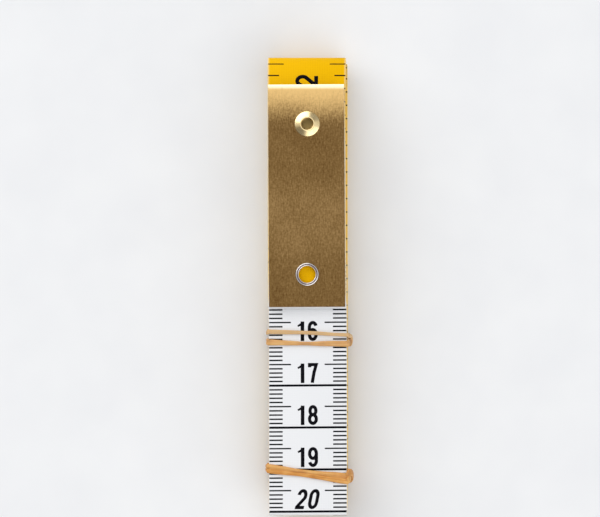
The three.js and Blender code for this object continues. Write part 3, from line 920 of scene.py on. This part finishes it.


# Where a band's middle runs: (place, outward, width, paleness with its painted highlight) along both of its
# turns
def bandCourse(band):
    bend = bandForm["close"] + band["thickness"] / 2
    edge = tape["width"] / 2 + bandForm["beside"]
    top, bottom = whiteZ + halfTape, tape["bandRoom"]
    low, high = band["swap"]
    course = []

    def step(x, z, outward, strand, lift=0, spread=1, fullness=1, aside=0):
        share = x / (2 * edge) + 0.5
        upper, lower = through(band["upper"], share), through(band["lower"], share)
        width = (upper + (lower - upper) * (1 - strand) / 2) * fullness
        y = band["y"] + aside - band["drop"] * x / tape["width"]
        y += strand * through(band["spacing"], share) * spread / 2
        out = Vector((outward[0], 0, outward[1])).normalized()
        # The strand nearer the brass end is paler: partly the rubber's own tone, partly a painted highlight.
        paler, darker = band["paleAndSheen"]
        paleAndSheen = darker + (paler - darker) * (1 + strand) / 2
        course.append((Vector((x, y, z)) + out * (bend + lift), out, width, paleAndSheen))

    def corner(x, z, start, strand):
        for i in range(bandForm["corner"] + 1):
            turn = start - math.pi / 2 * i / bandForm["corner"]
            narrowing = 1 - band["rounding"] * math.cos(turn) ** 2 if x < 0 else 1
            step(x, z, (math.cos(turn), math.sin(turn)), strand, 0, narrowing, narrowing)

    # The two turns change sides down the right edge; the one on top rises over the other.
    def crossing(share, strand):
        hump = band["thickness"] + bandForm["over"] if strand > 0 else 0
        phase = min(max((share - low) / (high - low), 0), 1)
        return strand * math.cos(math.pi * phase), hump * math.sin(math.pi * phase) ** bandForm["humpPower"]

    for strand in (1, -1):
        corner(-edge, top, math.pi, strand)
        for i in range(1, bandForm["front"]):
            step(-edge + 2 * edge * i / bandForm["front"], top, (0, 1), strand)
        startSwap, startLift = crossing(0, strand)
        for i in range(bandForm["corner"] + 1):
            turn = math.pi / 2 * (1 - i / bandForm["corner"])
            eased = math.cos(turn) ** 2
            step(
                edge, top, (math.cos(turn), math.sin(turn)), strand + (startSwap - strand) * eased,
                startLift * eased, 1 + band["flare"] * eased, 1 + band["fuller"] * eased,
                band["aside"] * eased,
            )
        for i in range(1, bandForm["right"]):
            share = i / bandForm["right"]
            swapped, lift = crossing(share, strand)
            lift += band["bulge"] * math.sin(math.pi * share ** bandForm["bulgePower"])
            left = 1 - share
            step(
                edge, top + (bottom - top) * share, (1, 0), swapped, lift,
                1 + band["flare"] * left, 1 + band["fuller"] * left, band["aside"] * left,
            )
        corner(edge, bottom, 0, -strand)
        for i in range(1, bandForm["front"]):
            step(edge - 2 * edge * i / bandForm["front"], bottom, (0, -1), -strand)
        corner(-edge, bottom, -math.pi / 2, -strand)
        narrowing = 1 - band["rounding"]
        for i in range(1, bandForm["left"]):
            share = i / bandForm["left"]
            lift = band["leftBulge"] * math.sin(math.pi * share)
            step(-edge, bottom + (top - bottom) * share, (-1, 0), -strand, lift, narrowing, narrowing)
    return course


# Moves a point of a circle out towards the square round it.
def squared(value):
    return math.copysign(abs(value) ** bandForm["squareness"], value)


# A flat grid rolled into a tube and laid along the band's course, then closed on itself
def makeBand(node, band):
    course = bandCourse(band)
    count, ribs = len(course), bandForm["ribs"]
    walked = [0]
    for here, following in zip(course, course[1:] + course[:1]):
        walked.append(walked[-1] + (following[0] - here[0]).length)
    frames = []
    for i, (place, out, width, paleAndSheen) in enumerate(course):
        tangent = (course[(i + 1) % count][0] - course[i - 1][0]).normalized()
        across = tangent.cross(out).normalized()
        frames.append((place, across, across.cross(tangent).normalized(), width, paleAndSheen))
    bm = bmesh.new()
    palenessAndSheen = bm.verts.layers.float.new("palenessAndSheen")
    bmesh.ops.create_grid(bm, x_segments=ribs, y_segments=count, size=0.5)
    rows = {vert: (round((vert.co.x + 0.5) * ribs), round((vert.co.y + 0.5) * count)) for vert in bm.verts}
    uv = bm.loops.layers.uv.new("bandUv")
    for face in bm.faces:
        for loop in face.loops:
            column, row = rows[loop.vert]
            loop[uv].uv = (band["seed"] + bandForm["grainAcross"] * column / ribs, walked[row])
    for vert, (column, row) in rows.items():
        place, across, out, width, vert[palenessAndSheen] = frames[row % count]
        turn = math.tau * column / ribs
        phase = walked[row % count] * bandForm["wobbleRate"] + band["seed"]
        wobble = 1 + bandForm["wobble"] * math.sin(phase)
        at = place + across * squared(math.cos(turn)) * width / 2 * wobble
        at += out * squared(math.sin(turn)) * band["thickness"] / 2
        vert.co = (at + Vector((tapeX, 0, 0))) * mm
    seam = [vert for vert, (column, row) in rows.items() if column in (0, ribs) or row in (0, count)]
    bmesh.ops.remove_doubles(bm, verts=seam, dist=1e-6)
    bmesh.ops.recalc_face_normals(bm, faces=bm.faces)
    piece = makeObject(band["name"], bm, [rubber])
    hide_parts(node)
    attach(piece, node)


for node, band in bands.items():
    makeBand(node, band)
print("bands made")


def makeFloor():
    bm = bmesh.new()
    bmesh.ops.create_grid(bm, x_segments=1, y_segments=1, size=1.5)
    floor = makeObject("floor", bm, [floorMaterial()])


# The camera looks straight down; the frame is 600 pixels wide at 4.203 pixels to the millimetre.
def makeCamera():
    view = {
        "distance": 2.0, "sensor": 36, "clip": (0.01, 10), "size": (600, 517), "pixelsPerMm": 4.203,
        "tapePixel": 308.0, "middlePixel": 286.2,
    }
    data = bpy.data.cameras.new("camera")
    data.sensor_width = view["sensor"]
    frameWidth = view["size"][0] / view["pixelsPerMm"] * mm
    data.lens = view["sensor"] * view["distance"] / frameWidth
    data.clip_start, data.clip_end = view["clip"]
    camera = bpy.data.objects.new("camera", data)
    bpy.context.scene.collection.objects.link(camera)
    x = tapeX + (view["size"][0] / 2 - view["tapePixel"]) / view["pixelsPerMm"]
    y = (view["middlePixel"] - view["size"][1] / 2) / view["pixelsPerMm"]
    camera.location = (x * mm, y * mm, view["distance"] + whiteZ * mm)
    bpy.context.scene.camera = camera


def makeLight(name, place, size, power):
    data = bpy.data.lights.new(name, "AREA")
    data.shape, data.size, data.size_y = "RECTANGLE", size[0], size[1]
    data.energy = power
    light = bpy.data.objects.new(name, data)
    light.location = place
    light.rotation_euler = (-Vector(place)).to_track_quat("-Z", "Y").to_euler()
    bpy.context.scene.collection.objects.link(light)


# Soft light all round: brighter beyond the tip of the brass end, as from a window, and darker towards two
# opposite corners. The ranges are parts of the direction's X, Y and Z.
def makeWorld():
    world = bpy.data.worlds.new("softRoom")
    bpy.context.scene.world = world
    world.use_nodes = True
    tree = world.node_tree
    direction = addNode(tree, "ShaderNodeTexCoord").outputs["Generated"]
    split = addNode(tree, "ShaderNodeSeparateXYZ", {"Vector": direction})
    level = addRange(tree, split.outputs["Z"], low=0.5, toLow=0.66, toHigh=1.02)
    window = addRange(tree, split.outputs["Y"], low=0.02, high=0.3, toHigh=0.55, soft=True)
    corner = addMath(tree, "MULTIPLY", split.outputs["X"], split.outputs["Y"])
    shade = addRange(tree, corner, low=0.05, high=0.24, toLow=1.0, toHigh=0.3, soft=True)
    total = addMath(tree, "MULTIPLY", addMath(tree, "ADD", level, window), shade)
    color = addNode(tree, "ShaderNodeCombineColor", {"Red": total, "Green": total, "Blue": total}).outputs[0]
    background = tree.nodes["Background"]
    tree.links.new(color, background.inputs["Color"])
    background.inputs["Strength"].default_value = 0.95


makeFloor()
makeCamera()
makeLight("upperLeft", (-0.5, 0.72, 0.6), (1.4, 0.6), 3.7)
makeLight("lowerRight", (0.5, -0.75, 0.55), (1.3, 0.6), 3.1)
makeWorld()
bpy.context.scene.view_settings.view_transform = "Standard"
print("stage set")
